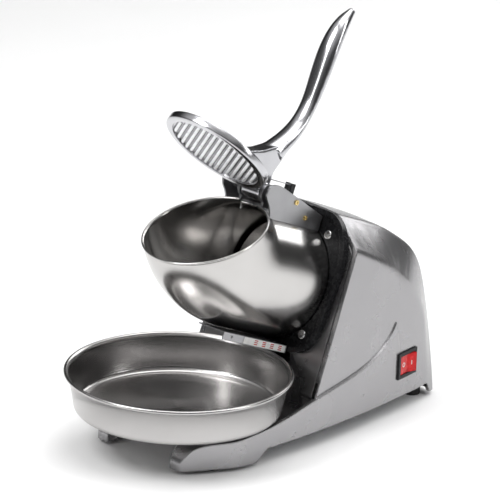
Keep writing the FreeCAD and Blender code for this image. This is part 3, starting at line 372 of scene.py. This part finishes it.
def refined(name, node, body, angle):
    """A copy of a CAD node with welded points; faces are smooth, folds past angle degrees crisp."""
    ob = bpy.data.objects.new(name, NODES[node].data.copy())
    bpy.context.scene.collection.objects.link(ob)
    bm = bmesh.new()
    bm.from_mesh(ob.data)
    bmesh.ops.remove_doubles(bm, verts=bm.verts, dist=2e-6)
    bmesh.ops.recalc_face_normals(bm, faces=bm.faces)
    for f in bm.faces:
        f.smooth = True
        f.material_index = 0
    for e in bm.edges:
        e.smooth = not (e.is_manifold and e.calc_face_angle(0.0) > math.radians(angle))
    bm.to_mesh(ob.data)
    bm.free()
    if ob.data.has_custom_normals:
        with bpy.context.temp_override(object=ob, active_object=ob, selected_objects=[ob]):
            bpy.ops.mesh.customdata_custom_splitnormals_clear()
    slot = next(s["material_slot"] for s in frame["record"]["subparts"] if s["node"] == node)
    ob.data.materials.clear()
    ob.data.materials.append(MATS[slot])
    shade = ob.modifiers.new("shade", "WEIGHTED_NORMAL")
    shade.keep_sharp = True
    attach(ob, body)
    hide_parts(node)


refined("housing_shell", "main_housing", "housing", 22.0)
refined("inner_casting", "front_frame", "housing", 25.0)
refined("flange_casting", "blade_housing", "housing", 30.0)
refined("bracket_folded", "hinge_bracket", "housing", 30.0)
cast_copy("lever_casting", "lever_handle", 0.0008, 14, "press_lever")


# ---------------------------------------------------------------- marks
def bar(bm, centre, axes, size, corner, steps=4):
    """A thin rounded bar: axes are its length, width and height directions."""
    a, b, c = axes
    pts = []
    for sx, sy, start in ((1, 1, 0), (-1, 1, 90), (-1, -1, 180), (1, -1, 270)):
        for i in range(steps + 1):
            t = math.radians(start + 90 * i / steps)
            pts.append(a * (sx * (size[0] / 2 - corner) + corner * math.cos(t))
                       + b * (sy * (size[1] / 2 - corner) + corner * math.sin(t)))
    low_ring = [bm.verts.new(centre + p) for p in pts]
    top_ring = [bm.verts.new(centre + p * 0.97 + c * size[2]) for p in pts]
    for k in range(len(pts)):
        j = (k + 1) % len(pts)
        bm.faces.new((low_ring[k], low_ring[j], top_ring[j], top_ring[k]))
    bm.faces.new(top_ring)
    bm.faces.new(low_ring[::-1])


label_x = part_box("guard_label")[1].x
corners = [HEAD.inverted() @ v.co for v in NODES["guard_label"].data.vertices]
n_low = min(v.z for v in corners)
s_mid = (min(v.y for v in corners) + max(v.y for v in corners)) / 2
across, raise_dir, out_dir = HEAD.to_3x3().col[2], HEAD.to_3x3().col[1], Vector((1, 0, 0))
bm = bmesh.new()
for k in range(4):
    at = HEAD @ Vector((label_x - 0.0001, s_mid, n_low + 0.008 + k * 0.0115))
    for shift in (-0.0018, 0.0, 0.0018):
        bar(bm, at + raise_dir * shift, (across, raise_dir, out_dir), (0.0050, 0.0009, 0.00018), 0.0004)
add("label_marks", bm, "red_plastic", "housing", sharp=60)

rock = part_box("switch_rocker")
rocker_mid = (rock[0] + rock[1]) / 2
faces = [(p.normal.copy(), p.center.copy(), p.area)
         for p in NODES["switch_rocker"].data.polygons if p.normal.x > 0.8]
for name, side in (("rocker_dot", -1), ("rocker_dash", 1)):
    near = [f for f in faces if (f[1].y - rocker_mid.y) * side > 0.002]
    normal = max(near, key=lambda f: f[2])[0]
    same = [f for f in near if f[0].dot(normal) > 0.999]
    whole = sum(f[2] for f in same)
    centre = sum((f[1] * f[2] for f in same), Vector()) / whole
    along_y = Vector((0, 0, 1)).cross(normal).normalized()
    bm = bmesh.new()
    if side < 0:
        frame_at = Matrix.Identity(4)
        frame_at.col[0], frame_at.col[1] = (*along_y, 0), (0, 0, 1, 0)
        frame_at.col[2], frame_at.col[3] = (*normal, 0), (*(centre - normal * 0.00005), 1)
        lathe(bm, [(0.0015, 0.0), (0.0023, 0.0), (0.0023, 0.00016), (0.0015, 0.00016)], frame_at, 32)
    else:
        bar(bm, centre - normal * 0.00005, (Vector((0, 0, 1)), along_y, normal),
            (0.0046, 0.0009, 0.00018), 0.0004)
    add(name, bm, "white_label", "rocker", sharp=60)


# ---------------------------------------------------------------- carried-over CAD nodes
for entry in frame["record"]["subparts"]:
    ob = NODES[entry["node"]]
    if not ob.material_slots:
        ob.data.materials.append(None)
    for s in ob.material_slots:
        s.material = MATS[entry["material_slot"]]

# ---------------------------------------------------------------- floor, light, camera
bm = bmesh.new()
span = 5.0
ring = [bm.verts.new((x, y, 0.0)) for x, y in ((-span, -span), (span, -span), (span, span), (-span, span))]
bm.faces.new(ring)
mesh = bpy.data.meshes.new("floor")
bm.to_mesh(mesh)
bm.free()
floor = bpy.data.objects.new("floor", mesh)
bpy.context.scene.collection.objects.link(floor)
mesh.materials.append(material("floor_paper", ((0.93, 0.93, 0.93), (0.955, 0.955, 0.955)), 0.0,
                               (0.7, 0.8), 3.0, 0.02, 200.0, edge=0.0))

world = bpy.data.worlds.new("studio")
bpy.context.scene.world = world
world.use_nodes = True
nt = world.node_tree
background = nt.nodes["Background"]
coord = nt.nodes.new("ShaderNodeTexCoord")
split = nt.nodes.new("ShaderNodeSeparateXYZ")
nt.links.new(coord.outputs["Generated"], split.inputs[0])
sky = nt.nodes.new("ShaderNodeValToRGB")
sky.color_ramp.elements[0].position = 0.0
sky.color_ramp.elements[0].color = (0.20, 0.20, 0.20, 1)
sky.color_ramp.elements[1].position = 1.0
sky.color_ramp.elements[1].color = (0.80, 0.80, 0.80, 1)
for at, value in ((0.12, 0.06), (0.42, 0.10), (0.62, 0.55)):
    e = sky.color_ramp.elements.new(at)
    e.color = (value, value, value, 1)
nt.links.new(split.outputs["Z"], sky.inputs[0])
# Bright and dark bands round the horizon, for the metal to mirror.
turn = nt.nodes.new("ShaderNodeTexGradient")
turn.gradient_type = "RADIAL"
nt.links.new(coord.outputs["Generated"], turn.inputs["Vector"])
bands = nt.nodes.new("ShaderNodeValToRGB")
bands.color_ramp.interpolation = "B_SPLINE"
bands.color_ramp.elements[0].color = (0.30, 0.30, 0.30, 1)
bands.color_ramp.elements[1].color = (0.30, 0.30, 0.30, 1)
for at, value in ((0.10, 1.6), (0.20, 0.12), (0.30, 1.5), (0.40, 0.10), (0.52, 1.6), (0.64, 0.15),
                  (0.76, 1.4), (0.88, 0.15)):
    e = bands.color_ramp.elements.new(at)
    e.color = (value, value, value, 1)
nt.links.new(turn.outputs[0], bands.inputs[0])
mixed = nt.nodes.new("ShaderNodeMix")
mixed.data_type = "RGBA"
mixed.blend_type = "MULTIPLY"
mixed.inputs[0].default_value = 1.0      # inputs 6 and 7 are the two colours, output 2 their product
nt.links.new(sky.outputs[0], mixed.inputs[6])
nt.links.new(bands.outputs[0], mixed.inputs[7])
nt.links.new(mixed.outputs[2], background.inputs["Color"])
background.inputs["Strength"].default_value = 1.0


def area(name, place, aim, size, power):
    light = bpy.data.lights.new(name, "AREA")
    light.shape = "RECTANGLE"
    light.size, light.size_y = size
    light.energy = power
    ob = bpy.data.objects.new(name, light)
    ob.location = place
    ob.rotation_mode = "QUATERNION"
    ob.rotation_quaternion = (Vector(aim) - Vector(place)).to_track_quat("-Z", "Y")
    bpy.context.scene.collection.objects.link(ob)


CAM_AZ, CAM_EL, CAM_ROLL = math.radians(44.5), math.radians(18.9), math.radians(2.0)
back = Vector((math.sin(CAM_AZ) * math.cos(CAM_EL), -math.cos(CAM_AZ) * math.cos(CAM_EL), math.sin(CAM_EL)))
right = Vector((math.cos(CAM_AZ), math.sin(CAM_AZ), 0.0))
up = back.cross(right)
target = Vector((0.0, -0.0035, 0.175))
area("key", target - right * 1.0 + back * 0.5 + Vector((0, 0, 1.2)), target, (0.8, 0.8), 13.0)
area("strip_right", target + right * 1.1 + back * 0.5 + Vector((0, 0, 0.55)), target, (0.25, 1.2), 5.0)
area("strip_left", target - right * 1.2 + back * 0.9 + Vector((0, 0, 0.35)), target, (0.22, 1.1), 4.0)
area("top", target + Vector((0, 0.15, 1.6)), target, (1.3, 1.3), 9.0)
area("behind", target + Vector((-0.2, 1.7, 0.8)), target, (1.3, 0.6), 9.0)
area("wash", target + Vector((0, 1.2, 4.0)), target + Vector((0, 1.2, 0)), (5.0, 5.0), 70.0)

camera_data = bpy.data.cameras.new("camera")
camera_data.lens = 288.0
camera_data.sensor_width = 36.0
camera_data.clip_end = 50.0
camera = bpy.data.objects.new("camera", camera_data)
bpy.context.scene.collection.objects.link(camera)
right2 = right * math.cos(CAM_ROLL) + up * math.sin(CAM_ROLL)
up2 = up * math.cos(CAM_ROLL) - right * math.sin(CAM_ROLL)
pose = Matrix.Identity(4)
pose.col[0] = (*right2, 0)
pose.col[1] = (*up2, 0)
pose.col[2] = (*back, 0)
pose.col[3] = (*(target + back * 3.752), 1)
camera.matrix_world = pose
bpy.context.scene.camera = camera
bpy.context.scene.view_settings.view_transform = "Standard"
